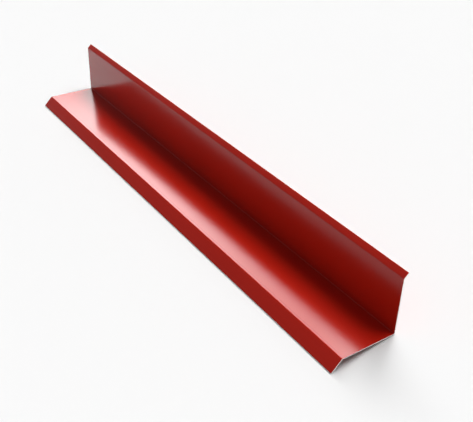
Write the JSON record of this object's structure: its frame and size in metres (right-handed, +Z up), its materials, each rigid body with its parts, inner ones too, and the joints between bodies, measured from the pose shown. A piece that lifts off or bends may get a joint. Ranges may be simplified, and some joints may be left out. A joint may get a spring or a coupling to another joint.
{
  "type": "side flashing",
  "caption": "Folded strip of red coated sheet metal with a wall leg, a roof leg, a drip lip and a wall lip, sealing the side of a roof against a wall or chimney.",
  "frame": {"origin": "on the floor, under the middle of the part's bounding box", "axes": "+Y along the fold lines, +X towards the wall that the wall leg stands against, +Z up from the floor; the part lies at rest on its corner bend and on the edge of its drip lip"},
  "size_m": [0.1392, 1, 0.1033],
  "materials": {
    "red_coating": "semi-gloss red coating"
  },
  "bodies": {
    "root": {"side_flashing": "red_coating"}
  },
  "joints": []
}
